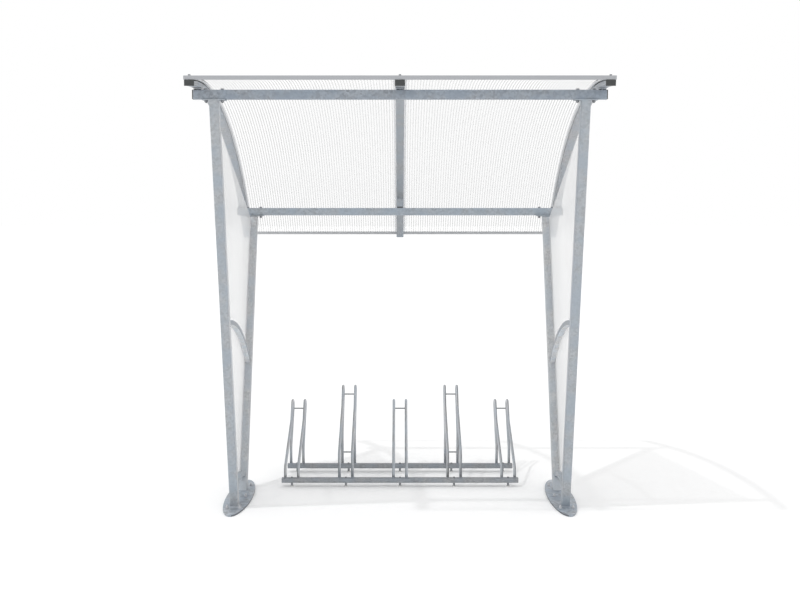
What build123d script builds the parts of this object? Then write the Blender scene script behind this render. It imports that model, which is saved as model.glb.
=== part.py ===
"""Open-sided bike shelter with a five-place wheel rack, in millimetres.

The origin is on the ground under the middle of the roof. X runs across the shelter, -Y is the open
front that bikes come in by, and +Z is up. The sizes below give Y from the middle of the base plates, and
the finished pieces are moved to the origin together. Angles along the curved roof are measured from
straight up over the centre of its curve, positive towards the rear.
"""
import os
from math import asin, cos, degrees, hypot, radians, sin, sqrt, tan

from build123d import *

# end frames
FRAME_SPACING = 2000.0        # between the middles of the two end frames
POST_WIDTH = 50.0             # post section across the shelter
POST_DEPTH = 60.0             # post section front to back, square to the post
FRONT_FOOT_Y = -201.0         # middle of the front post at ground level
FRONT_LEAN = 12.275           # degrees forward from upright
REAR_FOOT_Y = 154.0           # middle of the rear post at ground level
REAR_LEAN = 22.143            # degrees backward from upright
FRONT_POST_TOP = 2387.0
REAR_POST_TOP = 1736.0

# base plates
PLATE_LENGTH = 820.0          # long axis of the oval, front to back
PLATE_WIDTH = 162.0
PLATE_THICKNESS = 10.0
ANCHOR_HOLE = 14.0
ANCHOR_SPACING_X = 76.0
ANCHOR_SPACING_Y = 260.0
ANCHOR_ROWS = 3

# plates on the post heads, and the beams that they carry
HEAD_WIDTH = 128.0
HEAD_MARGIN = 5.0             # plate in front of and behind the post's cut end or the beam
HEAD_THICKNESS = 5.0
BEAM_SECTION = 50.0
BEAM_OVERHANG = 115.0         # beam beyond the middle of each end frame
REAR_BEAM_SHIFT = 20.0        # rear beam's middle behind the middle of the rear post's head

# bent braces between the posts of a frame
BRACE_SECTION = 30.0
BRACE_REACH = 60.0            # degrees that a bend is drawn each way, before the posts trim it
UPPER_BRACE_RADIUS = 1415.0   # to the middle of the section
UPPER_BRACE_TOP = 1146.0      # height of the curve's highest point
UPPER_BRACE_Y = -477.0        # where that point would be
LOWER_BRACE_RADIUS = 400.0
LOWER_BRACE_TOP = 139.0
LOWER_BRACE_Y = 10.0

# side panels
PANEL_THICKNESS = 6.0
PANEL_TOP_DROP = 4.0          # from the post heads down to the panel's top edge

# rafters
RAFTER_RADIUS = 2500.0        # to the rafter's top
RAFTER_WIDTH = 50.0
RAFTER_HEIGHT = 30.0
FRONT_SEAT_HEIGHT = 10.0      # front beam's top to the rafter's underside, over the beam's middle
REAR_SEAT_HEIGHT = 57.0       # the same at the rear beam
FRONT_OVERHANG = 236.0        # along the roof, from the front beam's middle to the rafter's front end
REAR_OVERHANG = 382.0         # along the roof, from the rear beam's middle to the rafter's rear end
CAP_THICKNESS = 5.0
CAP_OVERHANG = 1.0            # how far a cap stands out beside its rafter

# glazing on the rafters
SHEET_THICKNESS = 10.0
FLANGE_THICKNESS = 5.0        # each flange of a glazing bar or edge bar
SLOT_PLAY = 2.0               # slot height beyond the sheet's thickness
MIDDLE_BAR_WIDTH = 80.0
WEB_THICKNESS = 8.0
END_BAR_LAP = 39.0            # from an end rafter's middle to its glazing bar's inner edge
END_BAR_OVERHANG = 5.0        # from an end rafter's outer face to its glazing bar's outer edge
EDGE_BAR_DEPTH = 18.0         # front and rear edge bars, along the roof
EXPANSION_GAP = 4.0           # between a sheet's edge and the web that it faces

# seats under the rafters
SEAT_WIDTH = 40.0
SEAT_SETBACK = 20.0           # from the beam's front face to the seat's front face

# bike rack
PLACE_SPACING = 350.0
PLACE_COUNT = 5
RAIL_OVERHANG = 65.0          # rail beyond the middle of each outer wheel place
RAIL_DEPTH = 40.0
RAIL_HEIGHT = 30.0
RAIL_CLEARANCE = 27.0         # ground to the rails' undersides
FRONT_RAIL_Y = 279.0
REAR_RAIL_Y = 661.0
HOOP_TUBE = 18.0
HOOP_GAP = 66.0               # clear width for a wheel between the two tubes of a holder
CROSS_ROD = 8.0
FOOT_PAD_DIAMETER = 24.0
FOOT_PAD_THICKNESS = 6.0
FOOT_STUD_DIAMETER = 14.0

# side profile of a low wheel holder: heights from the ground
FRONT_KNEE_Z = 125.0
ELBOW_Z = 345.0               # where the gently rising run turns steep
CREST_Z = 475.0               # where the steep run turns back
REAR_KNEE_Z = 166.0
STEEP_ANGLE = 52.3            # degrees above level, of the steep run and the returning run
RETURN_SPACING = 64.0         # from the steep run to the returning run, square to them
LEG_BEND = 60.0
CREST_BEND = 30.0
ROD_DROP = 41.0               # from the returning run's top corner down to the cross rod
HIGH_LIFT = 100.0             # how much higher the second and fourth holders are
LOWER_ROD_HEIGHT = 137.0      # extra rod between the rear legs of a high holder

SEAT_GAP = 0.3                # between curved faces that lie on each other

SIDES = {"left": -1, "right": 1}


def circle_centre(a, b, radius):
    """Centre of the circle that passes through two side-view points and lies below them."""
    rise = b[1] - a[1]
    run = b[0] - a[0]
    chord = hypot(run, rise)
    depth = sqrt(radius ** 2 - chord ** 2 / 4)
    return ((a[0] + b[0]) / 2 + depth * rise / chord, (a[1] + b[1]) / 2 - depth * run / chord)


HALF_SPACING = FRAME_SPACING / 2
HALF_BEAM = HALF_SPACING + BEAM_OVERHANG
FRONT_BEAM_Y = FRONT_FOOT_Y - FRONT_POST_TOP * tan(radians(FRONT_LEAN))
REAR_HEAD_Y = REAR_FOOT_Y + REAR_POST_TOP * tan(radians(REAR_LEAN))
REAR_BEAM_Y = REAR_HEAD_Y + REAR_BEAM_SHIFT
FRONT_BEAM_BOTTOM = FRONT_POST_TOP + HEAD_THICKNESS
REAR_BEAM_BOTTOM = REAR_POST_TOP + HEAD_THICKNESS
END_RAFTER_X = HALF_BEAM - RAFTER_WIDTH / 2
RAFTER_UNDERSIDE = RAFTER_RADIUS - RAFTER_HEIGHT
ROOF_CENTRE = circle_centre((FRONT_BEAM_Y, FRONT_BEAM_BOTTOM + BEAM_SECTION + FRONT_SEAT_HEIGHT),
                            (REAR_BEAM_Y, REAR_BEAM_BOTTOM + BEAM_SECTION + REAR_SEAT_HEIGHT),
                            RAFTER_UNDERSIDE)
FRONT_BEAM_ANGLE = degrees(asin((FRONT_BEAM_Y - ROOF_CENTRE[0]) / RAFTER_UNDERSIDE))
REAR_BEAM_ANGLE = degrees(asin((REAR_BEAM_Y - ROOF_CENTRE[0]) / RAFTER_UNDERSIDE))
ROOF_START = FRONT_BEAM_ANGLE - degrees(FRONT_OVERHANG / RAFTER_RADIUS)
ROOF_END = REAR_BEAM_ANGLE + degrees(REAR_OVERHANG / RAFTER_RADIUS)
SHEET_BOTTOM = RAFTER_RADIUS + SEAT_GAP + FLANGE_THICKNESS + SEAT_GAP
BAR_TOP = RAFTER_RADIUS + SEAT_GAP + 2 * FLANGE_THICKNESS + SHEET_THICKNESS + SLOT_PLAY
RAIL_LENGTH = (PLACE_COUNT - 1) * PLACE_SPACING + 2 * RAIL_OVERHANG
RAIL_TOP = RAIL_CLEARANCE + RAIL_HEIGHT
ROOF_FRONT_Y = ROOF_CENTRE[0] + RAFTER_RADIUS * sin(radians(ROOF_START)) - CAP_THICKNESS
ROOF_REAR_Y = ROOF_CENTRE[0] + BAR_TOP * sin(radians(ROOF_END))
ORIGIN_Y = (ROOF_FRONT_Y + ROOF_REAR_Y) / 2

shapes = {}


def side_solid(face, x_middle, width):
    """Thicken a face drawn in side view (Y, Z) across the shelter, about x_middle."""
    return extrude(Plane.YZ.offset(x_middle - width / 2) * face, amount=width)


def box_between(low, high):
    """A box from its lowest corner to its highest one."""
    size = [b - a for a, b in zip(low, high)]
    middle = [(a + b) / 2 for a, b in zip(low, high)]
    return Pos(*middle) * Box(*size)


def arc_band(inner, outer, start, end, centre=ROOF_CENTRE):
    """Side-view face between two radii and two angles (degrees from straight up)."""
    def at(radius, angle):
        return (centre[0] + radius * sin(radians(angle)), centre[1] + radius * cos(radians(angle)))

    middle = (start + end) / 2
    edges = [
        ThreePointArc(at(outer, start), at(outer, middle), at(outer, end)),
        Line(at(outer, end), at(inner, end)),
        ThreePointArc(at(inner, end), at(inner, middle), at(inner, start)),
        Line(at(inner, start), at(outer, start)),
    ]
    return make_face(Curve() + edges)


def post_line(foot_y, lean, height):
    """Y of a post's middle at a height; lean is positive towards the rear."""
    return foot_y + height * tan(radians(lean))


def post_face(foot_y, lean, top):
    """Side view of a post, cut level on its base plate and under its head plate."""
    half = POST_DEPTH / 2 / cos(radians(lean))
    low = post_line(foot_y, lean, PLATE_THICKNESS)
    high = post_line(foot_y, lean, top)
    corners = [(low - half, PLATE_THICKNESS), (low + half, PLATE_THICKNESS), (high + half, top),
               (high - half, top)]
    return make_face(Polyline(*corners, close=True))


def post_gap_face(inset):
    """Side view of the open V between a frame's two posts, drawn in by an inset from each post."""
    front_half = POST_DEPTH / 2 / cos(radians(FRONT_LEAN)) + inset
    rear_half = POST_DEPTH / 2 / cos(radians(REAR_LEAN)) + inset
    front_top = FRONT_POST_TOP - PANEL_TOP_DROP
    rear_top = REAR_POST_TOP - PANEL_TOP_DROP
    corners = [
        (post_line(FRONT_FOOT_Y, -FRONT_LEAN, PLATE_THICKNESS) + front_half, PLATE_THICKNESS),
        (post_line(REAR_FOOT_Y, REAR_LEAN, PLATE_THICKNESS) - rear_half, PLATE_THICKNESS),
        (post_line(REAR_FOOT_Y, REAR_LEAN, rear_top) - rear_half, rear_top),
        (post_line(FRONT_FOOT_Y, -FRONT_LEAN, front_top) + front_half, front_top),
    ]
    return make_face(Polyline(*corners, close=True))


def base_plate(x_middle):
    """Oval plate with two columns of anchor holes."""
    outline = Ellipse(PLATE_WIDTH / 2, PLATE_LENGTH / 2)
    plate = Pos(x_middle, 0, 0) * extrude(outline, amount=PLATE_THICKNESS)
    middle = Pos(x_middle, 0, PLATE_THICKNESS / 2)
    for spot in middle * GridLocations(ANCHOR_SPACING_X, ANCHOR_SPACING_Y, 2, ANCHOR_ROWS):
        plate -= spot * Cylinder(ANCHOR_HOLE / 2, 2 * PLATE_THICKNESS)
    return plate


def head_plate(x_middle, post_y, lean, beam_y, bottom):
    """Flat plate on a post head, long enough for the post's cut end and for the beam on it."""
    post_half = POST_DEPTH / 2 / cos(radians(lean)) + HEAD_MARGIN
    beam_half = BEAM_SECTION / 2 + HEAD_MARGIN
    front = min(post_y - post_half, beam_y - beam_half)
    rear = max(post_y + post_half, beam_y + beam_half)
    return box_between((x_middle - HEAD_WIDTH / 2, front, bottom),
                       (x_middle + HEAD_WIDTH / 2, rear, bottom + HEAD_THICKNESS))


def beam(y_middle, bottom):
    """Square tube across both frames, modelled closed."""
    half = BEAM_SECTION / 2
    return box_between((-HALF_BEAM, y_middle - half, bottom),
                       (HALF_BEAM, y_middle + half, bottom + BEAM_SECTION))


def brace_face(radius, top, y_top):
    """Side view of a bent brace: the curved band, trimmed to the V between the posts."""
    centre = (y_top, top - radius)
    half = BRACE_SECTION / 2
    band = arc_band(radius - half, radius + half, -BRACE_REACH, BRACE_REACH, centre)
    return band & post_gap_face(0)


def side_panel_face():
    """Side view of a side panel: the V between the posts, down to the lower brace's underside."""
    face = post_gap_face(SEAT_GAP)
    below = LOWER_BRACE_RADIUS - BRACE_SECTION / 2
    disc = Pos(LOWER_BRACE_Y, LOWER_BRACE_TOP - LOWER_BRACE_RADIUS) * Circle(below)
    return face - disc


def rafter_seat(y_beam, beam_top, x_middle):
    """Block on a beam whose top follows the underside of the rafter; its rear face is the beam's."""
    reach = RAFTER_UNDERSIDE - SEAT_GAP
    tallest = ROOF_CENTRE[1] + reach
    length = BEAM_SECTION - SEAT_SETBACK
    column = Pos(y_beam + SEAT_SETBACK / 2, (beam_top + tallest) / 2) * Rectangle(length, tallest - beam_top)
    disc = Pos(*ROOF_CENTRE) * Circle(reach)
    return side_solid(column & disc, x_middle, SEAT_WIDTH)


def glazing_bar(inner_x, outer_x, web_low, web_high):
    """Curved bar with two flanges and one web; the sheets slide in beside the web."""
    start = ROOF_START + edge_angle()
    end = ROOF_END - edge_angle()
    low = RAFTER_RADIUS + SEAT_GAP
    width = outer_x - inner_x
    middle = (outer_x + inner_x) / 2
    web_width = web_high - web_low
    bottom = side_solid(arc_band(low, low + FLANGE_THICKNESS, start, end), middle, width)
    top = side_solid(arc_band(BAR_TOP - FLANGE_THICKNESS, BAR_TOP, start, end), middle, width)
    web = side_solid(arc_band(low, BAR_TOP, start, end), (web_low + web_high) / 2, web_width)
    return bottom + top + web


def edge_angle():
    """Angle along the roof that an edge bar takes up."""
    return degrees(EDGE_BAR_DEPTH / RAFTER_RADIUS)


def edge_bar(start, end, web_start, web_end):
    """Straight bar along the roof's front or rear edge, with a slot for the sheets."""
    low = RAFTER_RADIUS + SEAT_GAP
    slot_low = low + FLANGE_THICKNESS
    slot_high = BAR_TOP - FLANGE_THICKNESS
    width = 2 * (END_RAFTER_X + RAFTER_WIDTH / 2 + END_BAR_OVERHANG)
    face = arc_band(low, slot_low, start, end) + arc_band(slot_high, BAR_TOP, start, end)
    face += arc_band(low, BAR_TOP, web_start, web_end)
    return side_solid(face, 0, width)


def roof_sheet(x_low, x_high):
    """Curved sheet between two glazing bars, with room to expand at each edge."""
    inset = degrees((WEB_THICKNESS / 2 + EXPANSION_GAP) / RAFTER_RADIUS)
    face = arc_band(SHEET_BOTTOM, SHEET_BOTTOM + SHEET_THICKNESS, ROOF_START + inset, ROOF_END - inset)
    return side_solid(face, (x_low + x_high) / 2, x_high - x_low)


def rafter_cap(x_middle):
    """Plug plate over the open front end of a rafter."""
    thickness_angle = degrees(CAP_THICKNESS / RAFTER_RADIUS)
    face = arc_band(RAFTER_UNDERSIDE - CAP_OVERHANG, RAFTER_RADIUS, ROOF_START - thickness_angle, ROOF_START)
    return side_solid(face, x_middle, RAFTER_WIDTH + 2 * CAP_OVERHANG)


def hoop_corners(lift):
    """Side-view corner points of one bent tube, from the front rail to the rear rail, and its rod."""
    slope = tan(radians(STEEP_ANGLE))
    back_z = CREST_Z - RETURN_SPACING * cos(radians(STEEP_ANGLE))
    back_y = REAR_RAIL_Y + (back_z - REAR_KNEE_Z) / slope
    crest_y = back_y - RETURN_SPACING * sin(radians(STEEP_ANGLE))
    elbow_y = crest_y - (CREST_Z - ELBOW_Z) / slope
    corners = [
        (FRONT_RAIL_Y, RAIL_TOP),
        (FRONT_RAIL_Y, FRONT_KNEE_Z + lift),
        (elbow_y, ELBOW_Z + lift),
        (crest_y, CREST_Z + lift),
        (back_y, back_z + lift),
        (REAR_RAIL_Y, REAR_KNEE_Z + lift),
        (REAR_RAIL_Y, RAIL_TOP),
    ]
    rod_y = back_y - ROD_DROP * cos(radians(STEEP_ANGLE))
    rod_z = back_z + lift - ROD_DROP * sin(radians(STEEP_ANGLE))
    return corners, (rod_y, rod_z)


def rod_across(x_middle, y, z):
    """Thin round rod between the two tubes of a holder."""
    return Pos(x_middle, y, z) * Rot(0, 90, 0) * Cylinder(CROSS_ROD / 2, HOOP_GAP + HOOP_TUBE)


def wheel_holder(x_middle, lift):
    """Two bent tubes side by side, joined by thin rods."""
    corners, rod = hoop_corners(lift)
    bends = [LEG_BEND, LEG_BEND, CREST_BEND, CREST_BEND, LEG_BEND]
    holder = rod_across(x_middle, *rod)
    for side in (-1, 1):
        x_tube = x_middle + side * (HOOP_GAP + HOOP_TUBE) / 2
        route = FilletPolyline(*[(x_tube, y, z) for y, z in corners], radius=bends)
        section = Plane(origin=(x_tube, *corners[0]), z_dir=(0, 0, 1)) * Circle(HOOP_TUBE / 2)
        holder += sweep(section, path=route)
    if lift > 0:
        holder += rod_across(x_middle, REAR_RAIL_Y, LOWER_ROD_HEIGHT)
    return holder


def rack_rail(y_middle):
    """Closed rectangular tube that the holders stand on."""
    return box_between((-RAIL_LENGTH / 2, y_middle - RAIL_DEPTH / 2, RAIL_CLEARANCE),
                       (RAIL_LENGTH / 2, y_middle + RAIL_DEPTH / 2, RAIL_TOP))


def rack_foot(x, y):
    """Round pad and stud under a rail."""
    pad = Pos(x, y, FOOT_PAD_THICKNESS / 2) * Cylinder(FOOT_PAD_DIAMETER / 2, FOOT_PAD_THICKNESS)
    stud_height = RAIL_CLEARANCE - FOOT_PAD_THICKNESS
    stud = Pos(x, y, FOOT_PAD_THICKNESS + stud_height / 2) * Cylinder(FOOT_STUD_DIAMETER / 2, stud_height)
    return pad + stud


# end frames
front_post = post_face(FRONT_FOOT_Y, -FRONT_LEAN, FRONT_POST_TOP)
rear_post = post_face(REAR_FOOT_Y, REAR_LEAN, REAR_POST_TOP)
upper_brace = brace_face(UPPER_BRACE_RADIUS, UPPER_BRACE_TOP, UPPER_BRACE_Y)
lower_brace = brace_face(LOWER_BRACE_RADIUS, LOWER_BRACE_TOP, LOWER_BRACE_Y)
for side, sign in SIDES.items():
    x_frame = sign * HALF_SPACING
    x_panel = x_frame + sign * (BRACE_SECTION + PANEL_THICKNESS) / 2
    shapes[f"{side}_base_plate"] = base_plate(x_frame)
    shapes[f"{side}_front_post"] = side_solid(front_post, x_frame, POST_WIDTH)
    shapes[f"{side}_rear_post"] = side_solid(rear_post, x_frame, POST_WIDTH)
    shapes[f"{side}_front_head_plate"] = head_plate(x_frame, FRONT_BEAM_Y, FRONT_LEAN, FRONT_BEAM_Y,
                                                    FRONT_POST_TOP)
    shapes[f"{side}_rear_head_plate"] = head_plate(x_frame, REAR_HEAD_Y, REAR_LEAN, REAR_BEAM_Y,
                                                   REAR_POST_TOP)
    shapes[f"{side}_upper_brace"] = side_solid(upper_brace, x_frame, BRACE_SECTION)
    shapes[f"{side}_lower_brace"] = side_solid(lower_brace, x_frame, BRACE_SECTION)
    shapes[f"{side}_side_panel"] = side_solid(side_panel_face(), x_panel, PANEL_THICKNESS)

# beams
shapes["front_beam"] = beam(FRONT_BEAM_Y, FRONT_BEAM_BOTTOM)
shapes["rear_beam"] = beam(REAR_BEAM_Y, REAR_BEAM_BOTTOM)

# rafters with their caps and seats
front_seats = []
rear_seats = []
rafter = arc_band(RAFTER_UNDERSIDE, RAFTER_RADIUS, ROOF_START, ROOF_END)
for name, x_rafter in (("left", -END_RAFTER_X), ("middle", 0.0), ("right", END_RAFTER_X)):
    shapes[f"{name}_rafter"] = side_solid(rafter, x_rafter, RAFTER_WIDTH)
    shapes[f"{name}_rafter_cap"] = rafter_cap(x_rafter)
    front_seats.append(rafter_seat(FRONT_BEAM_Y, FRONT_BEAM_BOTTOM + BEAM_SECTION, x_rafter))
    rear_seats.append(rafter_seat(REAR_BEAM_Y, REAR_BEAM_BOTTOM + BEAM_SECTION, x_rafter))
shapes["front_rafter_seats"] = Compound(front_seats)
shapes["rear_rafter_seats"] = Compound(rear_seats)

# glazing
bar_outer = END_RAFTER_X + RAFTER_WIDTH / 2 + END_BAR_OVERHANG
bar_inner = END_RAFTER_X - END_BAR_LAP
web_half = WEB_THICKNESS / 2
shapes["left_glazing_bar"] = glazing_bar(-bar_outer, -bar_inner, -bar_outer, -bar_outer + WEB_THICKNESS)
shapes["middle_glazing_bar"] = glazing_bar(-MIDDLE_BAR_WIDTH / 2, MIDDLE_BAR_WIDTH / 2, -web_half, web_half)
shapes["right_glazing_bar"] = glazing_bar(bar_inner, bar_outer, bar_outer - WEB_THICKNESS, bar_outer)
sheet_low = web_half + EXPANSION_GAP
sheet_high = bar_outer - WEB_THICKNESS - EXPANSION_GAP
shapes["left_roof_sheet"] = roof_sheet(-sheet_high, -sheet_low)
shapes["right_roof_sheet"] = roof_sheet(sheet_low, sheet_high)
bar_angle = edge_angle()
web_share = bar_angle * WEB_THICKNESS / 2 / EDGE_BAR_DEPTH
shapes["front_edge_bar"] = edge_bar(ROOF_START, ROOF_START + bar_angle, ROOF_START, ROOF_START + web_share)
shapes["rear_edge_bar"] = edge_bar(ROOF_END - bar_angle, ROOF_END, ROOF_END - web_share, ROOF_END)

# bike rack
shapes["rack_front_rail"] = rack_rail(FRONT_RAIL_Y)
shapes["rack_rear_rail"] = rack_rail(REAR_RAIL_Y)
feet = []
for place in range(PLACE_COUNT):
    x_place = (place - (PLACE_COUNT - 1) / 2) * PLACE_SPACING
    shapes[f"wheel_holder_{place + 1}"] = wheel_holder(x_place, HIGH_LIFT if place % 2 else 0)
    for y_rail in (FRONT_RAIL_Y, REAR_RAIL_Y):
        feet.append(rack_foot(x_place, y_rail))
shapes["rack_feet"] = Compound(feet)

os.makedirs("parts", exist_ok=True)
for name, shape in shapes.items():
    export_step(Pos(0, -ORIGIN_Y, 0) * shape, f"parts/{name}.step")
    print(name, round(shape.volume / 1000), "cm3")
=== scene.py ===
import math
import random

import bmesh
import bpy
from mathutils import Matrix, Vector


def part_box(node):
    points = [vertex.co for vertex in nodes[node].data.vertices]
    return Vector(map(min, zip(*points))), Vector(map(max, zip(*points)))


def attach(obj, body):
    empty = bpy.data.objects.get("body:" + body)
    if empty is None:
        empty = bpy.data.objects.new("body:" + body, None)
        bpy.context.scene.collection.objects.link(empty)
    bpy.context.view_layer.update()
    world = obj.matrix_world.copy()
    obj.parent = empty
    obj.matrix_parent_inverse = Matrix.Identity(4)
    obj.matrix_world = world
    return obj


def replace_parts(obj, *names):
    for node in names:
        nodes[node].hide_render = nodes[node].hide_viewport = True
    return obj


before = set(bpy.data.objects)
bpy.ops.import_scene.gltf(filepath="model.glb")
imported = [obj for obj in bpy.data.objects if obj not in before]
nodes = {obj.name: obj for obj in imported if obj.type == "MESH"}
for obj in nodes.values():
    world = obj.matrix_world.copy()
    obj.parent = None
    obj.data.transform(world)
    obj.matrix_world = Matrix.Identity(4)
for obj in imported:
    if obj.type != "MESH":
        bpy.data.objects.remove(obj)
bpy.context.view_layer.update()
chance = random.Random(7)
print("frame loaded,", len(nodes), "nodes")

across = Vector((1, 0, 0))
upward = Vector((0, 0, 1))
sides = {"left": -1, "right": 1}
bays = ("left", "middle", "right")

plateLow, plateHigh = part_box("right_base_plate")
frameX = (plateLow.x + plateHigh.x) / 2
standY = (plateLow.y + plateHigh.y) / 2     # the side profiles are measured from here


# shader maths: one output socket that can be added and multiplied; | takes the larger of two
class Wire:
    def __init__(self, finish, socket):
        self.finish = finish
        self.socket = socket

    def reckon(self, operation, first, second):
        return self.finish.node("ShaderNodeMath", {"operation": operation},
                                {0: first, 1: second})

    def __add__(self, other):
        return self.reckon("ADD", self, other)

    __radd__ = __add__

    def __mul__(self, other):
        return self.reckon("MULTIPLY", self, other)

    __rmul__ = __mul__

    def __or__(self, other):
        return self.reckon("MAXIMUM", self, other)


# a material or world with its node tree; node() adds any node and hands back one output
class Finish:
    def __init__(self, block):
        block.use_nodes = True
        self.block = block
        self.tree = block.node_tree

    def connect(self, value, socket):
        if isinstance(value, Wire):
            self.tree.links.new(value.socket, socket)
        else:
            socket.default_value = value

    def node(self, kind, settings=None, inputs=None, output=0):
        made = self.tree.nodes.new(kind)
        for key, value in (settings or {}).items():
            if key == "stops":
                for stop, (place, shade) in zip(made.color_ramp.elements, value):
                    stop.position = place
                    stop.color = (shade, shade, shade, 1)
            else:
                setattr(made, key, value)
        for key, value in (inputs or {}).items():
            self.connect(value, made.inputs[key])
        return Wire(self, made.outputs[output])

    def spot(self, stretch=(1, 1, 1)):
        place = self.node("ShaderNodeTexCoord", output="Object")
        return self.node("ShaderNodeMapping", inputs={"Vector": place, "Scale": stretch})

    def noise(self, where, scale, detail=2.0, roughness=0.5):
        return self.node("ShaderNodeTexNoise", inputs={
            "Vector": where, "Scale": scale, "Detail": detail, "Roughness": roughness})

    def ramp(self, value, low, high):
        shade = self.node("ShaderNodeValToRGB", {"stops": [(low, 0), (high, 1)]}, {"Fac": value})
        return self.node("ShaderNodeRGBToBW", inputs={"Color": shade})

    def blend(self, share, first, second):
        # sockets 6 and 7 are the mix node's two colours, and output 2 is their mix
        return self.node("ShaderNodeMix", {"data_type": "RGBA"},
                         {0: share, 6: first, 7: second}, 2)

    def bump(self, height, strength, distance):
        return self.node("ShaderNodeBump", inputs={
            "Strength": strength, "Distance": distance, "Height": height})

    def surface(self, values):
        shader = self.tree.nodes["Principled BSDF"]
        for key, value in values.items():
            self.connect(value, shader.inputs[key])
        return self.block

    def directlySeen(self):
        # rays that see the background as it is, straight on or in a reflection
        path = self.tree.nodes.new("ShaderNodeLightPath")
        camera, glossy, through = (Wire(self, path.outputs[key]) for key in (
            "Is Camera Ray", "Is Glossy Ray", "Is Transmission Ray"))
        return camera | glossy | through


def newFinish(name):
    return Finish(bpy.data.materials.new(name))


def tinted(colour, share):
    return tuple(min(1.0, c * share) for c in colour[:3]) + (1,)


# hot dip galvanising: small crystals, cloudy patches that tend to blue, and a fine grain, with the shares
# of a tube's painted flank shade and painted flank highlight
zinc = {"patchScale": 9.0, "patchDetail": 4.0, "patchRough": 0.6, "patchEdges": (0.38, 0.62),
        "mottleScale": 0.7, "mottleDetail": 3.0, "mottleRough": 0.65, "grainScale": 900.0,
        "blueTint": (0.87, 0.97, 1.07), "blueShare": 0.6, "flankShadeShare": 0.9, "flankLightShare": 0.6,
        "roughness": 0.34, "cellMatt": 0.16, "mottleMatt": 0.18,
        "grainBump": 0.5, "cellBump": 0.8, "bump": (0.12, 0.0006)}


def galvanised(name, colour, metallic=0.55, contrast=0.3, flankShade=0.0, crystals=85.0):
    finish = newFinish(name)
    where = finish.spot()
    crystal = finish.node("ShaderNodeTexVoronoi", inputs={"Vector": where, "Scale": crystals},
                          output="Color")
    cell = finish.node("ShaderNodeSeparateColor", inputs={"Color": crystal}, output="Red")
    cloud = finish.noise(where, zinc["patchScale"], zinc["patchDetail"], zinc["patchRough"])
    patch = finish.ramp(cloud, *zinc["patchEdges"])
    mottle = finish.noise(where, zinc["mottleScale"] * crystals, zinc["mottleDetail"],
                          zinc["mottleRough"])
    grain = finish.noise(where, zinc["grainScale"])
    tone = finish.blend(0.5 * cell + 0.5 * mottle, tinted(colour, 1 - contrast),
                        tinted(colour, 1 + contrast))
    if flankShade:
        # painted shade and highlight: one flank of a round tube is painted darker and the other paler,
        # the left flank darker where the value is above 0
        normal = finish.node("ShaderNodeTexCoord", output="Normal")
        flank = finish.node("ShaderNodeSeparateXYZ", inputs={"Vector": normal})
        darker = finish.blend(zinc["flankShadeShare"], tone, tinted(colour, 1 - abs(flankShade)))
        lighter = finish.blend(zinc["flankLightShare"], tone, tinted(colour, 1 + abs(flankShade)))
        tone = finish.blend(0.5 + math.copysign(0.5, flankShade) * flank, darker, lighter)
    blue = tinted([c * share for c, share in zip(colour, zinc["blueTint"])], 1.0)
    return finish.surface({
        "Base Color": finish.blend(zinc["blueShare"] * patch, tone, blue),
        "Metallic": metallic,
        "Roughness": zinc["roughness"] + zinc["cellMatt"] * cell + zinc["mottleMatt"] * mottle,
        "Normal": finish.bump(zinc["grainBump"] * grain + zinc["cellBump"] * cell, *zinc["bump"])})


# drawn aluminium: fine lines along the bar
drawn = {"streakScale": 14.0, "streakDetail": 3.0, "cloudScale": 6.0, "cloudDetail": 3.0,
         "streakShare": 0.6, "cloudShare": 0.4, "darker": 0.93, "lighter": 1.06,
         "roughness": 0.3, "streakMatt": 0.2, "bump": (0.06, 0.0004)}


def aluminium(name, colour, metallic=0.5, stretch=(1, 40, 40)):
    finish = newFinish(name)
    streak = finish.noise(finish.spot(stretch), drawn["streakScale"], drawn["streakDetail"])
    cloud = finish.noise(finish.spot(), drawn["cloudScale"], drawn["cloudDetail"])
    return finish.surface({
        "Base Color": finish.blend(drawn["streakShare"] * streak + drawn["cloudShare"] * cloud,
                                   tinted(colour, drawn["darker"]),
                                   tinted(colour, drawn["lighter"])),
        "Metallic": metallic,
        "Roughness": drawn["roughness"] + drawn["streakMatt"] * streak,
        "Normal": finish.bump(streak, *drawn["bump"])})


# clear or milky sheet: faint haze and dust, and a slow wave in the surface
clear = {"hazeScale": 3.0, "hazeDetail": 4.0, "hazeRough": 0.6, "dustScale": 160.0,
         "hazeShare": 0.8, "dustShare": 0.2, "darker": 0.96, "lighter": 1.02,
         "alpha": 0.9, "hazeAlpha": 0.16, "dustAlpha": 0.04, "hazeMatt": 0.1,
         "bump": (0.05, 0.001)}


def translucent(name, colour, alpha, roughness=0.15, wave=25.0):
    finish = newFinish(name)
    where = finish.spot()
    haze = finish.noise(where, clear["hazeScale"], clear["hazeDetail"], clear["hazeRough"])
    dust = finish.noise(where, clear["dustScale"])
    ripple = finish.noise(where, wave)
    cover = clear["alpha"] + clear["hazeAlpha"] * haze + clear["dustAlpha"] * dust
    return finish.surface({
        "Base Color": finish.blend(clear["hazeShare"] * haze + clear["dustShare"] * dust,
                                   tinted(colour, clear["darker"]),
                                   tinted(colour, clear["lighter"])),
        "Alpha": alpha * cover,
        "Roughness": roughness + clear["hazeMatt"] * haze,
        "Normal": finish.bump(ripple, *clear["bump"])})


# plastic and rubber: a fine pebbled skin with some wear
skin = {"pebbleScale": 700.0, "wearScale": 60.0, "wearDetail": 3.0, "darker": 0.8,
        "lighter": 1.2, "wearMatt": 0.15, "bump": (0.15, 0.0004)}


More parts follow.
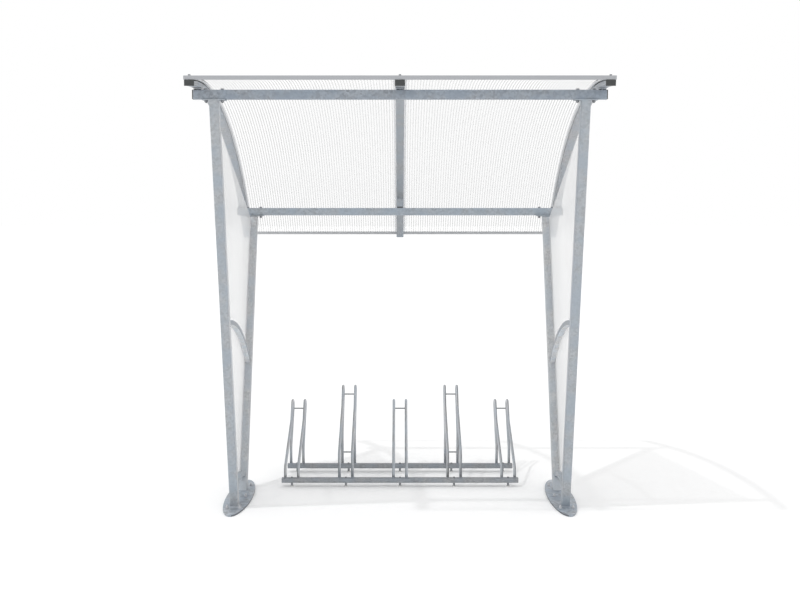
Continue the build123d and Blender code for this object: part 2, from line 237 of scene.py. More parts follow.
def moulded(name, colour, roughness=0.45):
    finish = newFinish(name)
    where = finish.spot()
    pebble = finish.noise(where, skin["pebbleScale"])
    wear = finish.noise(where, skin["wearScale"], skin["wearDetail"])
    return finish.surface({
        "Base Color": finish.blend(wear, tinted(colour, skin["darker"]),
                                   tinted(colour, skin["lighter"])),
        "Roughness": roughness + skin["wearMatt"] * wear,
        "Normal": finish.bump(pebble, *skin["bump"])})


# all the steel below is one galvanised steel; each piece's tone was set so that it comes out as bright as
# wanted under this light, so the differences between pieces are painted light and shade: the front beam,
# rails, base plates, rods and foot welds painted darker, the rear posts and end rafters painted paler
postSteel = galvanised("galvanised posts", (0.43, 0.45, 0.47))
# painted highlight on the front posts' right-facing sides
postLitSideSteel = galvanised("galvanised post sides with painted highlight", (0.55, 0.56, 0.57))
rearPostSteel = galvanised("galvanised rear posts", (0.51, 0.515, 0.52))
frontBeamSteel = galvanised("galvanised front beam", (0.338, 0.366, 0.402), contrast=0.5)
rearBeamSteel = galvanised("galvanised rear beam", (0.4, 0.43, 0.46), contrast=0.4)
rafterSteel = galvanised("galvanised middle rafter", (0.405, 0.42, 0.435))
endRafterSteel = galvanised("galvanised end rafters", (0.46, 0.47, 0.485))
# painted highlight on the end rafters' tails
tailHighlightSteel = galvanised("galvanised rafter tails with painted highlight", (0.72, 0.73, 0.745), metallic=0.3)
# painted highlight for the upper braces and the front seats
paintedPaleSteel = galvanised("galvanised braces with painted highlight", (0.82, 0.83, 0.84), metallic=0.35)
# painted shade on the upper braces' sides
braceShadedSideSteel = galvanised("galvanised brace sides with painted shade", (0.33, 0.345, 0.365))
plateSteel = galvanised("galvanised base plates", (0.37, 0.393, 0.422), metallic=0.45,
                        contrast=0.75, crystals=62.0)
# painted shade on the base plates' inner rims
plateShadedRimSteel = galvanised("galvanised plate rims with painted shade", (0.17, 0.18, 0.195), metallic=0.45,
                           contrast=0.5)
railSteel = galvanised("galvanised rack rails", (0.33, 0.338, 0.35))
# painted shade on the rails' top faces
railShadedTopSteel = galvanised("galvanised rail tops with painted shade", (0.27, 0.275, 0.285))
# the hoops carry a painted shade on one flank and a painted highlight on the other, mirrored between left
# and right hoops; the right hoops are painted a little darker
leftHoopSteel = galvanised("galvanised left hoops", (0.475, 0.482, 0.492), metallic=0.6,
                           contrast=0.35, flankShade=0.8)
rightHoopSteel = galvanised("galvanised right hoops", (0.45, 0.457, 0.467), metallic=0.6,
                            contrast=0.35, flankShade=-0.75)
rodSteel = galvanised("galvanised rods", (0.15, 0.16, 0.17), metallic=0.6)
weldSteel = galvanised("galvanised welds", (0.33, 0.345, 0.365), metallic=0.4)
barMetal = aluminium("aluminium front edge bar", (0.44, 0.452, 0.475))
# the rear edge bar is painted paler than the front one, painted light on a bar in shade
litRearBarMetal = aluminium("aluminium rear edge bar painted paler", (0.5, 0.51, 0.525))
# a paler aluminium, a painted highlight on the end glazing bars, also used for the panel screws
endBarMetal = aluminium("aluminium end bars painted paler", (0.82, 0.83, 0.84), metallic=0.15,
                        stretch=(40, 1, 1))
# the bolts' dark tone is painted shade; the bright anchor nuts and seat sleeves carry a painted highlight
shadedBoltMetal = aluminium("zinc plated bolts with painted shade", (0.28, 0.29, 0.305), metallic=0.75,
                      stretch=(1, 1, 1))
highlightNutMetal = aluminium("anchor nuts with painted highlight", (0.55, 0.56, 0.58), metallic=0.75,
                     stretch=(1, 1, 1))
roofPlastic = translucent("twin wall skins", (0.9, 0.91, 0.915), alpha=0.04)
# the ribs are painted dark grey, a painted shade standing in for the dark lines that refraction draws
# along clear ribs
ribPlastic = translucent("twin wall ribs", (0.24, 0.245, 0.25), alpha=0.13, roughness=0.3)
barPlastic = translucent("clear glazing bar", (0.75, 0.81, 0.89), alpha=0.09)
panelPlastic = translucent("satin panels", (0.9, 0.905, 0.91), alpha=0.45, roughness=0.25,
                           wave=5.0)
capPlastic = moulded("black plastic", (0.05, 0.054, 0.054))
rubber = moulded("black rubber", (0.03, 0.032, 0.034), roughness=0.7)
# rubber painted lighter grey, painted light on the rear seat pads in shade
paintedLightRubber = moulded("rubber painted lighter grey", (0.14, 0.142, 0.145), roughness=0.7)
# rubber painted paler for the end rafters' gaskets, a painted highlight
paintedPaleRubber = moulded("rubber painted paler", (0.3, 0.3, 0.3), roughness=0.7)
nylon = moulded("pale nylon", (0.82, 0.82, 0.8), roughness=0.5)
print("finishes made")


# how every piece is worked: distances in metres, angles in degrees
work = {"join": 0.00002, "flat": 0.2, "hard": 50, "sharp": 35, "alongRun": 0.9, "nearEnd": 1e-4,
        "endOn": 0.99, "sideOn": 0.9, "tiny": 1e-6}


def finished(bm, name, materials, sharpest=work["sharp"]):
    bmesh.ops.recalc_face_normals(bm, faces=bm.faces)
    mesh = bpy.data.meshes.new(name)
    bm.to_mesh(mesh)
    bm.free()
    mesh.polygons.foreach_set("use_smooth", [True] * len(mesh.polygons))
    mesh.set_sharp_from_angle(angle=math.radians(sharpest))
    for material in materials if isinstance(materials, (list, tuple)) else [materials]:
        mesh.materials.append(material)
    piece = bpy.data.objects.new(name, mesh)
    bpy.context.scene.collection.objects.link(piece)
    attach(piece, "root")
    return piece


def bevelled(bm, geom, radius, segments=3, affect="EDGES"):
    bmesh.ops.bevel(bm, geom=geom, offset=radius, offset_type="OFFSET", segments=segments,
                    profile=0.5, affect=affect, clamp_overlap=True, material=-1)


def merged(node, flatten=True):
    # a copy of a node's mesh, joined up and with its flat parts made whole
    bm = bmesh.new()
    bm.from_mesh(nodes[node].data)
    bmesh.ops.remove_doubles(bm, verts=bm.verts, dist=work["join"])
    if flatten:
        bmesh.ops.dissolve_limit(bm, angle_limit=math.radians(work["flat"]), verts=bm.verts,
                                 edges=bm.edges)
    return bm


def softened(node, radius, run=None, segments=3):
    # a copy of a node with its hard edges rounded; run keeps to the edges along that direction
    bm = merged(node)
    hard = [e for e in bm.edges
            if len(e.link_faces) == 2 and e.calc_face_angle() > math.radians(work["hard"])]
    if run:
        hard = [e for e in hard
                if abs((e.verts[1].co - e.verts[0].co).normalized().dot(run)) > work["alongRun"]]
    bevelled(bm, hard, radius, segments)
    return bm


def sliced(bm, place, keepSide):
    # keeps what lies on the keepSide of a plane, and closes the cut
    cut = bmesh.ops.bisect_plane(bm, geom=bm.verts[:] + bm.edges[:] + bm.faces[:],
                                 plane_co=place, plane_no=keepSide, clear_inner=True)
    rim = [g for g in cut["geom_cut"] if isinstance(g, bmesh.types.BMEdge)]
    bmesh.ops.holes_fill(bm, edges=rim, sides=0)
    return bm


def recessed(bm, faces, wall, depth, inside=0):
    # sinks the middle of an end face, which leaves the tube's wall standing round it
    bmesh.ops.inset_region(bm, faces=faces, thickness=wall, use_even_offset=True)
    for face in faces:
        inward = -face.normal * depth
        made = bmesh.ops.extrude_discrete_faces(bm, faces=[face])
        bmesh.ops.translate(bm, verts=made["faces"][0].verts, vec=inward)
        made["faces"][0].material_index = inside


def facing(point, normal):
    turn = Vector(normal).to_track_quat("Z", "Y").to_matrix().to_4x4()
    return Matrix.Translation(point) @ turn


def prism(bm, place, segments, radius, low, high, chamfer=0.0, topRadius=None):
    before = set(bm.verts)
    middle = Matrix.Translation((0, 0, (low + high) / 2))
    bmesh.ops.create_cone(bm, cap_ends=True, segments=segments, radius1=radius,
                          radius2=radius if topRadius is None else topRadius,
                          depth=high - low, matrix=middle)
    made = [v for v in bm.verts if v not in before]
    if chamfer:
        top = {v for v in made if v.co.z > high - work["tiny"]}
        rim = [e for e in {e for v in top for e in v.link_edges} if set(e.verts) <= top]
        bevelled(bm, rim, chamfer, 2)
        made = [v for v in bm.verts if v not in before]
    bmesh.ops.transform(bm, matrix=place, verts=made)


# bolt heads, nuts and washers at full size; a screw is a smaller bolt head
fastener = {"acrossFlats": 0.017, "head": 0.0065, "nut": 0.008, "hexEdge": 0.0012,
            "washer": 0.010, "washerThick": 0.002, "washerEdge": 0.0005, "washerSides": 24,
            "stud": 0.0051, "studEdge": 0.001, "studSides": 16}


def washer(bm, place, size):
    prism(bm, place, fastener["washerSides"], fastener["washer"] * size, 0,
          fastener["washerThick"] * size, fastener["washerEdge"] * size)


def hexagon(bm, place, height, size):
    # a bolt head or a nut, on its washer
    washer(bm, place, size)
    base = fastener["washerThick"] * size
    prism(bm, place, 6, fastener["acrossFlats"] * size / math.sqrt(3), base,
          base + height * size, fastener["hexEdge"] * size)


def boltHead(bm, place, size=1.0):
    hexagon(bm, place, fastener["head"], size)


def nutOnStud(bm, place, stud):
    hexagon(bm, place, fastener["nut"], 1.0)
    prism(bm, place, fastener["studSides"], fastener["stud"], fastener["washerThick"], stud,
          fastener["studEdge"])


# posts, base plates and head plates
postShape = {"corner": 0.005}
plateShape = {"edge": 0.0012, "rimOn": 0.5}
for side, sign in sides.items():
    for part, steel in (("front_post", postSteel), ("rear_post", rearPostSteel)):
        node = f"{side}_{part}"
        post = softened(node, postShape["corner"], upward)
        if part == "front_post":
            # the side that faces right is painted paler, a painted highlight
            for face in post.faces:
                face.material_index = int(face.normal.x > work["sideOn"])
        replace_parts(finished(post, node + "_tube", [steel, postLitSideSteel]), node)
    for part, steel in (("base_plate", [plateSteel, plateShadedRimSteel]),
                        ("front_head_plate", postSteel), ("rear_head_plate", postSteel)):
        node = f"{side}_{part}"
        plate = softened(node, plateShape["edge"], segments=2)
        if part == "base_plate":
            # the rim towards the shelter's middle is painted darker, a painted shade
            for face in plate.faces:
                face.material_index = int(abs(face.normal.z) < plateShape["rimOn"]
                                          and face.normal.x * sign < -plateShape["rimOn"])
        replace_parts(finished(plate, node + "_steel", steel), node)

# beams, each with a plastic cap over both ends
beamShape = {"corner": 0.0025, "capLip": 0.005, "capEdge": 0.0012, "capRim": 0.005,
             "capSink": 0.0008}


def endFaces(bm, reach):
    return [f for f in bm.faces if abs(f.calc_center_median().x) > reach - work["nearEnd"]]


for node, steel in (("front_beam", frontBeamSteel), ("rear_beam", rearBeamSteel)):
    low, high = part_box(node)
    body = softened(node, beamShape["corner"], across)
    sliced(body, across * (high.x - beamShape["capLip"]), -across)
    sliced(body, across * (low.x + beamShape["capLip"]), across)
    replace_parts(finished(body, node + "_tube", steel), node)
    for side, sign in sides.items():
        cap = softened(node, beamShape["corner"], across)
        sliced(cap, sign * across * (high.x - beamShape["capLip"]), sign * across)
        rim = {e for f in endFaces(cap, high.x) for e in f.edges}
        bevelled(cap, list(rim), beamShape["capEdge"], 2)
        recessed(cap, endFaces(cap, high.x), beamShape["capRim"], beamShape["capSink"])
        finished(cap, f"{node}_{side}_cap", capPlastic)

# rack rails, each with a plug let into both ends
tubeEnd = {"wall": 0.003, "plugDepth": 0.0012}
railShape = {"corner": 0.0035, "topOn": 0.6}
for node in ("rack_front_rail", "rack_rear_rail"):
    rail = softened(node, railShape["corner"], across)
    # the top faces are painted darker, a painted shade
    for face in rail.faces:
        face.material_index = 2 * int(face.normal.z > railShape["topOn"])
    ends = [f for f in rail.faces if abs(f.normal.x) > work["endOn"]]
    recessed(rail, ends, tubeEnd["wall"], tubeEnd["plugDepth"], 1)
    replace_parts(finished(rail, node + "_tube", [railSteel, capPlastic, railShadedTopSteel]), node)
print("posts, plates, beams and rails made")


# anything bent to an arc that runs across the shelter: a rectangle spun round the arc's axis
def bent(bm, x, width, centre, inner, outer, start, end, steps, corner=0.0):
    before = set(bm.verts)
    bmesh.ops.create_grid(bm, x_segments=1, y_segments=1, size=0.5)
    made = [v for v in bm.verts if v not in before]
    bmesh.ops.rotate(bm, verts=made, cent=(0, 0, 0), matrix=Matrix.Rotation(math.pi / 2, 3, "X"))
    bmesh.ops.scale(bm, verts=made, vec=(width, 1, outer - inner))
    if corner:
        bevelled(bm, made, corner, 3, "VERTICES")
        made = [v for v in bm.verts if v not in before]
    bmesh.ops.translate(bm, verts=made, vec=(x, 0, (inner + outer) / 2))
    bmesh.ops.rotate(bm, verts=made, cent=(0, 0, 0), matrix=Matrix.Rotation(-start, 3, "X"))
    bmesh.ops.translate(bm, verts=made, vec=(0, centre[0], centre[1]))
    faces = {f for v in made for f in v.link_faces}
    edges = {e for v in made for e in v.link_edges}
    bmesh.ops.spin(bm, geom=made + list(edges) + list(faces), cent=(x, centre[0], centre[1]),
                   axis=across, angle=start - end, steps=steps, use_duplicate=False,
                   use_merge=False)
    return bm


roof = {"radius": 2.5, "rafterHeight": 0.03, "rafterCorner": 0.0035, "steps": 56,
        "plugEdge": 0.0012, "tailFrom": 0.78}       # tailFrom in radians from straight up
rafterLow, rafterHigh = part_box("middle_rafter")
roofZ = rafterHigh.z - roof["radius"]
underside = roof["radius"] - roof["rafterHeight"]
roofEnd = math.acos((rafterLow.z - roofZ) / underside)
roofY = rafterHigh.y - roof["radius"] * math.sin(roofEnd)
roofStart = math.asin((rafterLow.y - roofY) / roof["radius"])
roofCentre = (roofY, roofZ)
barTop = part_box("middle_glazing_bar")[1].z - roofZ


def roofAngle(spot):
    return math.atan2(spot.y - roofY, spot.z - roofZ)


def roofRadius(spot):
    return math.hypot(spot.y - roofY, spot.z - roofZ)


def onRoof(x, radius, angle):
    lift = Vector((0, math.sin(angle), math.cos(angle)))
    return facing(Vector((x, roofY, roofZ)) + lift * radius, lift)


# each strip's start and end, in radians from the roof's front, and its thickness; paleFrom, where the
# strip's painted paler part begins, is counted from straight up
gasket = {"strips": ((0.002, 0.135, 0.0045), (0.1352, 0.855, 0.0009)), "proud": 0.0008,
          "rounding": 0.25, "short": 0.002, "paleFrom": 0.05}
rafterX = {}
for bay in bays:
    low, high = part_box(bay + "_rafter")
    rafterX[bay] = (low.x + high.x) / 2
    rafter = bent(bmesh.new(), rafterX[bay], high.x - low.x, roofCentre, underside,
                  roof["radius"], roofStart, roofEnd, roof["steps"], roof["rafterCorner"])
    tail = max((f for f in rafter.faces if len(f.verts) > 4),
               key=lambda f: f.calc_center_median().y)
    recessed(rafter, [tail], tubeEnd["wall"], tubeEnd["plugDepth"], 1)
    if bay != "middle":
        # past the rear beam the end rafters' top and underside are painted paler, a painted highlight;
        # only the two sides keep the darker steel
        for face in rafter.faces:
            behind = roofAngle(face.calc_center_median()) > roof["tailFrom"]
            if behind and face.material_index == 0 and abs(face.normal.x) <= work["sideOn"]:
                face.material_index = 2
    steel = rafterSteel if bay == "middle" else endRafterSteel
    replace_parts(finished(rafter, bay + "_rafter_tube", [steel, capPlastic, tailHighlightSteel]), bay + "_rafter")
    # a rubber strip between rafter and glazing on the end rafters, thicker ahead of the front beam
    if bay != "middle":
        strip = bmesh.new()
        for begin, stop, thick in gasket["strips"]:
            bent(strip, rafterX[bay], high.x - low.x + 2 * gasket["proud"], roofCentre,
                 roof["radius"] - thick, roof["radius"], roofStart + begin,
                 min(roofStart + stop, roofEnd - gasket["short"]), roof["steps"] // 2,
                 thick * gasket["rounding"])
        # the strip is one black rubber, painted paler from just behind the roof's crest to its rear end,
        # a painted highlight
        for face in strip.faces:
            face.material_index = int(roofAngle(face.calc_center_median()) > gasket["paleFrom"])
        finished(strip, bay + "_rafter_gasket", [rubber, paintedPaleRubber])
    plug = softened(bay + "_rafter_cap", roof["plugEdge"], segments=2)
    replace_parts(finished(plug, bay + "_rafter_plug", capPlastic),
                bay + "_rafter_cap")

weld = {"leg": 0.0045, "hoop": 0.0035, "thin": 0.0004, "corner": 0.003, "level": 0.0008}


def endSection(node, atTop, keep=lambda co: True):
    # the outline of a node's flat end, as low and high corners
    corners = [v.co for v in nodes[node].data.vertices if keep(v.co)]
    level = max(co.z for co in corners) if atTop else min(co.z for co in corners)
    rim = [co for co in corners if abs(co.z - level) < weld["level"]]
    return (Vector((min(co.x for co in rim), min(co.y for co in rim), level)),
            Vector((max(co.x for co in rim), max(co.y for co in rim), level)))


def skirt(bm, node, atTop):
    # a fillet weld all round the end of a post
    low, high = endSection(node, atTop)
    half = (high - low) / 2
    middle = (low + high) / 2
    before = set(bm.verts)
    bmesh.ops.create_cube(bm, size=1)
    made = [v for v in bm.verts if v not in before]
    away = -1 if atTop else 1
    for v in made:
        outward = v.co.z * away > 0
        spread = weld["thin"] if outward else weld["leg"]
        v.co = Vector((middle.x + math.copysign(half.x + spread, v.co.x),
                       middle.y + math.copysign(half.y + spread, v.co.y),
                       low.z + (weld["leg"] * away if outward else 0)))
    upright = [e for e in {e for v in made for e in v.link_edges}
               if abs(e.verts[0].co.z - e.verts[1].co.z) > work["nearEnd"]]
    bevelled(bm, upright, weld["corner"], 3)


braces = {"section": 0.03, "corner": 0.0035, "intoPost": 0.012,
          "upper": {"radius": 1.415, "top": 1.146, "topY": -0.477, "steps": 28, "screws": 4},
          "lower": {"radius": 0.4, "top": 0.139, "topY": 0.010, "steps": 20, "screws": 3}}
for side, sign in sides.items():
    for level in ("upper", "lower"):
        shape = braces[level]
        node = f"{side}_{level}_brace"
        low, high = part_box(node)
        centre = (standY + shape["topY"], shape["top"] - shape["radius"])
        start = math.asin((low.y - braces["intoPost"] - centre[0]) / shape["radius"])
        end = math.asin((high.y + braces["intoPost"] - centre[0]) / shape["radius"])
        half = braces["section"] / 2
        brace = bent(bmesh.new(), sign * frameX, braces["section"], centre,
                     shape["radius"] - half, shape["radius"] + half, start, end,
                     shape["steps"], braces["corner"])
        if level == "upper":
            # the upper braces' sides are painted darker, a painted shade, and their other faces paler, a
            # painted highlight
            for face in brace.faces:
                face.material_index = 1 if abs(face.normal.x) > work["sideOn"] else 2
        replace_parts(finished(brace, node + "_tube", [postSteel, braceShadedSideSteel, paintedPaleSteel]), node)
    footWelds = bmesh.new()
    headWelds = bmesh.new()
    for part in ("front_post", "rear_post"):
        skirt(footWelds, f"{side}_{part}", False)
        skirt(headWelds, f"{side}_{part}", True)
    finished(footWelds, side + "_foot_welds", weldSteel)
    finished(headWelds, side + "_head_welds", postSteel)
print("rafters, braces and welds made")


# glazing bars: an end bar's upper flange reaches less far in over the sheet than its lower one
glazingBar = {"edge": 0.0008, "flange": 0.0055, "lapUpTo": 1.06, "cutBack": 0.014}
for bay in bays:
    node = bay + "_glazing_bar"
    bar = softened(node, glazingBar["edge"], segments=2)
    if bay == "middle":
        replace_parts(finished(bar, node + "_profile", barPlastic), node)
    else:
        upperFrom = barTop - glazingBar["flange"]
        for v in bar.verts:
            if roofRadius(v.co) > upperFrom and abs(v.co.x) < glazingBar["lapUpTo"]:
                v.co.x += sides[bay] * glazingBar["cutBack"]
        # one aluminium bar in two tones: below its upper flange and inward of the rafter's middle it is
        # painted paler, a painted highlight; the upper flange and outer part keep the darker aluminium
        for face in bar.faces:
            spot = face.calc_center_median()
            face.material_index = int(roofRadius(spot) > upperFrom
                                      or abs(spot.x) > rafterX["right"])
        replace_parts(finished(bar, node + "_profile", [endBarMetal, barMetal]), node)

# edge bars: the rear one's upper flange is the shorter; its tip and cut are angles in radians
edgeBar = {"edge": 0.0012, "flange": 0.0065, "tip": 0.0015, "turnBack": 0.0036}
for node in ("front_edge_bar", "rear_edge_bar"):
    bar = softened(node, edgeBar["edge"], segments=2)
    if node == "rear_edge_bar":
        upper = [v for v in bar.verts if roofRadius(v.co) > barTop - edgeBar["flange"]]
        first = min(roofAngle(v.co) for v in upper)
        tip = [v for v in upper if roofAngle(v.co) < first + edgeBar["tip"]]
        bmesh.ops.rotate(bar, verts=tip, cent=(0, roofY, roofZ),
                         matrix=Matrix.Rotation(-edgeBar["turnBack"], 3, "X"))
    # the rear bar takes the painted paler aluminium
    metal = barMetal if node == "front_edge_bar" else litRearBarMetal
    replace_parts(finished(bar, node + "_profile", metal), node)

# roof sheets, with the ribs between their two skins
sheet = {"thick": 0.010, "steps": 56, "corner": 0.0006}
rib = {"pitch": 0.0162, "width": 0.006, "thick": 0.0006, "steps": 28, "short": 0.001}
sidePanel = {"edge": 0.0008, "frontDrop": 0.03, "rearDrop": 0.018}
for side in sides:
    node = side + "_roof_sheet"
    low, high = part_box(node)
    top = high.z - roofZ
    bottom = top - sheet["thick"]
    end = math.acos((low.z - roofZ) / bottom)
    start = math.asin((low.y - roofY) / top)
    skins = bent(bmesh.new(), (low.x + high.x) / 2, high.x - low.x, roofCentre, bottom, top,
                 start, end, sheet["steps"], sheet["corner"])
    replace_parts(finished(skins, node + "_skin", roofPlastic), node)
    ribs = bmesh.new()
    middle = (bottom + top) / 2
    bent(ribs, low.x + rib["pitch"] / 2, rib["width"], roofCentre, middle - rib["thick"] / 2,
         middle + rib["thick"] / 2, start + rib["short"], end - rib["short"], rib["steps"])
    pattern = ribs.verts[:] + ribs.edges[:] + ribs.faces[:]
    for k in range(1, int((high.x - low.x) / rib["pitch"])):
        made = bmesh.ops.duplicate(ribs, geom=pattern)
        moved = [v for v in made["geom"] if isinstance(v, bmesh.types.BMVert)]
        bmesh.ops.translate(ribs, verts=moved, vec=(k * rib["pitch"], 0, 0))
    finished(ribs, node + "_ribs", ribPlastic)
    # the side panel is cut off along a line below its top corners, further down at the front
    node = side + "_side_panel"
    panel = softened(node, sidePanel["edge"], segments=2)
    frontCorner = max((v.co for v in panel.verts), key=lambda co: co.z)
    rearCorner = max((v.co for v in panel.verts), key=lambda co: co.y)
    frontTop = frontCorner - upward * sidePanel["frontDrop"]
    rearTop = rearCorner - upward * sidePanel["rearDrop"]
    sliced(panel, frontTop, across.cross(frontTop - rearTop))
    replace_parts(finished(panel, node + "_sheet", panelPlastic), node)
print("glazing made")


# rafter seats: rubber pads on the beam, a spacer sleeve between them, the steel seat over them
seats = {"front": {"pad": 0.0045, "padGap": 0.0065}, "rear": {"pad": 0.010, "padGap": 0.0003},
         "width": 0.04, "padEdge": 0.0012, "steelEdge": 0.001, "sleeve": 0.0055,
         "sleeveSides": 16}


def block(bm, low, high, corner):
    before = set(bm.verts)
    bmesh.ops.create_cube(bm, size=1)
    made = [v for v in bm.verts if v not in before]
    bmesh.ops.scale(bm, verts=made, vec=high - low)
    bmesh.ops.translate(bm, verts=made, vec=(low + high) / 2)
    bevelled(bm, list({e for v in made for e in v.link_edges}), corner, 2)


# the front seats' steel is painted paler and the rear pads' rubber painted lighter grey, painted light on
# parts in shade; the sleeves take the nuts' painted highlight
for row, steelFinish, padFinish in (("front", paintedPaleSteel, rubber),
                                    ("rear", rafterSteel, paintedLightRubber)):
    node = row + "_rafter_seats"
    shape = seats[row]
    low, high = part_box(node)
    padTop = low.z + shape["pad"]
    pads = bmesh.new()
    sleeves = bmesh.new()
    for bay in bays:
        for sign in (-1, 1):
            near = rafterX[bay] + sign * shape["padGap"]
            far = rafterX[bay] + sign * seats["width"] / 2
            block(pads, Vector((min(near, far), low.y, low.z)),
                  Vector((max(near, far), high.y, padTop)), seats["padEdge"])
        foot = Vector((rafterX[bay], (low.y + high.y) / 2, low.z))
        prism(sleeves, facing(foot, upward), seats["sleeveSides"], seats["sleeve"], 0,
              shape["pad"])
    seat = softened(node, seats["steelEdge"], segments=2)
    sliced(seat, Vector((0, 0, padTop)), upward)
    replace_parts(finished(seat, node + "_steel", steelFinish), node)
    finished(pads, row + "_seat_pads", padFinish)
    finished(sleeves, row + "_seat_sleeves", highlightNutMetal)
print("seats made")


# wheel holders: two hoop tubes, and darker cross rods between them
rack = {"places": range(1, 6), "leftPlaces": 3, "rodReach": 0.033, "hoopSharp": 40,
        "footEdge": 0.001, "padUpTo": 0.0062, "weldSides": 20}
for k in rack["places"]:
    node = f"wheel_holder_{k}"
    low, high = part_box(node)
    holder = merged(node, flatten=False)
    for face in holder.faces:
        if abs(face.calc_center_median().x - (low.x + high.x) / 2) < rack["rodReach"]:
            face.material_index = 1
    hoopSteel = leftHoopSteel if k <= rack["leftPlaces"] else rightHoopSteel
    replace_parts(finished(holder, node + "_tubes", [hoopSteel, rodSteel],
                         rack["hoopSharp"]), node)

# threaded feet on nylon pads
feet = softened("rack_feet", rack["footEdge"], segments=2)
for face in feet.faces:
    if face.calc_center_median().z < rack["padUpTo"]:
        face.material_index = 1
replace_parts(finished(feet, "rack_feet_studs", [shadedBoltMetal, nylon]),
            "rack_feet")

# a weld bead round the foot of every hoop tube
beads = bmesh.new()
for k in rack["places"]:
    node = f"wheel_holder_{k}"
    low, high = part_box(node)
    for rail in ("rack_front_rail", "rack_rear_rail"):
        railLow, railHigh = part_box(rail)
        for sign in (-1, 1):
            def onLeg(co):
                aside = sign * (co.x - (low.x + high.x) / 2)
                return aside > rack["rodReach"] and railLow.y < co.y < railHigh.y

            legLow, legHigh = endSection(node, False, onLeg)
            size = (legHigh.x - legLow.x) / 2
            spot = (legLow + legHigh) / 2
            spot.z = railHigh.z
            prism(beads, facing(spot, upward), rack["weldSides"], size + weld["hoop"], 0,
                  weld["hoop"], topRadius=size)
finished(beads, "rack_welds", weldSteel)
print("rack made")


# base plates' anchors and beam bolts
anchor = {"x": 0.038, "y": 0.26, "stud": 0.020}
beamBolt = {"x": 0.044, "stud": 0.014}
for side, sign in sides.items():
    anchors = bmesh.new()
    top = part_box(side + "_base_plate")[1].z
    for column in (-1, 1):
        for row in (-1, 0, 1):
            spot = Vector((sign * frameX + column * anchor["x"],
                           standY + row * anchor["y"], top))
            turn = Matrix.Rotation(chance.uniform(0, math.pi / 3), 4, "Z")
            nutOnStud(anchors, facing(spot, upward) @ turn, anchor["stud"])
    finished(anchors, side + "_anchor_nuts", highlightNutMetal)
    bolts = bmesh.new()
    for row in ("front", "rear"):
        beamLow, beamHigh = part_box(row + "_beam")
        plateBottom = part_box(f"{side}_{row}_head_plate")[0].z
        for column in (-1, 1):
            x = sign * frameX + column * beamBolt["x"]
            y = (beamLow.y + beamHigh.y) / 2
            boltHead(bolts, facing(Vector((x, y, beamHigh.z)), upward))
            nutOnStud(bolts, facing(Vector((x, y, plateBottom)), -upward), beamBolt["stud"])
    finished(bolts, side + "_beam_bolts", shadedBoltMetal)

# roof screws down each glazing bar, and one at each bar's front end; angles in degrees
roofScrew = {"angles": (4.8, 12.0, 19.5, 27.0, 34.5, 42.0, 48.9), "size": 0.7,
             "frontAngle": 0.2, "frontSize": 0.72}
screws = bmesh.new()
for bay in bays:
    x = rafterX[bay]
    for angle in roofScrew["angles"]:
        boltHead(screws, onRoof(x, barTop, math.radians(angle)), roofScrew["size"])
    boltHead(screws, onRoof(x, barTop, roofStart + math.radians(roofScrew["frontAngle"])),
             roofScrew["frontSize"])
finished(screws, "glazing_screws", shadedBoltMetal)

# panel screws along both braces, on the end frames' outside only
panelScrew = {"washer": 0.7, "sides": 16, "radius": 0.0045, "low": 0.0014, "high": 0.0035,
              "edge": 0.001, "before": 0.7, "spare": 0.4}
panelScrews = bmesh.new()
for side, sign in sides.items():
    outside = sign * max(abs(corner.x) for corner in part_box(side + "_side_panel"))
    for level in ("upper", "lower"):
        shape = braces[level]
        low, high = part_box(f"{side}_{level}_brace")
        for k in range(shape["screws"]):
            share = (k + panelScrew["before"]) / (shape["screws"] + panelScrew["spare"])
            y = low.y + (high.y - low.y) * share
            rise = math.sqrt(shape["radius"] ** 2 - (y - standY - shape["topY"]) ** 2)
            z = shape["top"] - shape["radius"] + rise
            place = facing(Vector((outside, y, z)), (sign, 0, 0))
            washer(panelScrews, place, panelScrew["washer"])
            prism(panelScrews, place, panelScrew["sides"], panelScrew["radius"],
                  panelScrew["low"], panelScrew["high"], panelScrew["edge"])
finished(panelScrews, "panel_screws", endBarMetal)

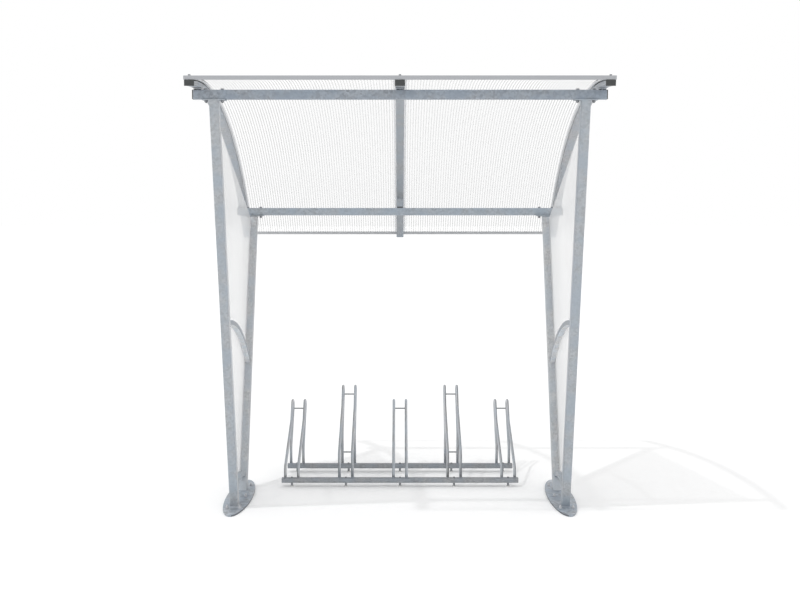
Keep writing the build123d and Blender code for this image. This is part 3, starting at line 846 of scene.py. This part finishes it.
# a bolt on each rail at every wheel place
railBolt = {"size": 0.75, "spacing": 0.35}
railBolts = bmesh.new()
for node in ("rack_front_rail", "rack_rear_rail"):
    low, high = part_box(node)
    for place in range(-2, 3):
        spot = Vector((place * railBolt["spacing"], (low.y + high.y) / 2, high.z))
        boltHead(railBolts, facing(spot, upward), railBolt["size"])
finished(railBolts, "rail_bolts", shadedBoltMetal)
print("bolts made")


# floor, light and camera
light = {"sky": 0.96, "sun": 0.52, "sunSize": 1.4, "slant": (-0.493, -0.28, 1),
         "floorBounce": 0.8, "floorSize": 60}
white = (1, 1, 1, 1)


def plainFloor():
    finish = newFinish("studio floor")
    tone = finish.blend(finish.directlySeen(), (light["floorBounce"],) * 3 + (1,), white)
    matt = finish.node("ShaderNodeBsdfDiffuse", inputs={"Color": tone})
    finish.connect(matt, finish.tree.nodes["Material Output"].inputs["Surface"])
    bm = bmesh.new()
    bmesh.ops.create_grid(bm, x_segments=1, y_segments=1, size=light["floorSize"])
    mesh = bpy.data.meshes.new("floor")
    bm.to_mesh(mesh)
    bm.free()
    mesh.materials.append(finish.block)
    floor = bpy.data.objects.new("floor", mesh)
    bpy.context.scene.collection.objects.link(floor)


def whiteWorld():
    finish = Finish(bpy.data.worlds.new("studio"))
    strength = finish.node("ShaderNodeMapRange", inputs={
        "Value": finish.directlySeen(), "To Min": light["sky"]})
    background = finish.tree.nodes["Background"]
    finish.connect(white, background.inputs["Color"])
    finish.connect(strength, background.inputs["Strength"])
    bpy.context.scene.world = finish.block


plainFloor()
whiteWorld()
lamp = bpy.data.lights.new("sun", "SUN")
lamp.energy = light["sun"]
lamp.angle = math.radians(light["sunSize"])
sun = bpy.data.objects.new("sun", lamp)
sun.rotation_euler = Vector(light["slant"]).to_track_quat("Z", "Y").to_euler()
bpy.context.scene.collection.objects.link(sun)

view = {"lens": 50.0, "filmWidth": 36.0, "back": 6.778, "height": 1.88, "dip": 5.4}
lens = bpy.data.cameras.new("camera")
lens.lens = view["lens"]
lens.sensor_width = view["filmWidth"]
camera = bpy.data.objects.new("camera", lens)
camera.location = (0, standY - view["back"], view["height"])
camera.rotation_euler = (math.radians(90 - view["dip"]), 0, 0)
bpy.context.scene.collection.objects.link(camera)
bpy.context.scene.camera = camera
bpy.context.scene.view_settings.view_transform = "Standard"
print("floor, light and camera set")
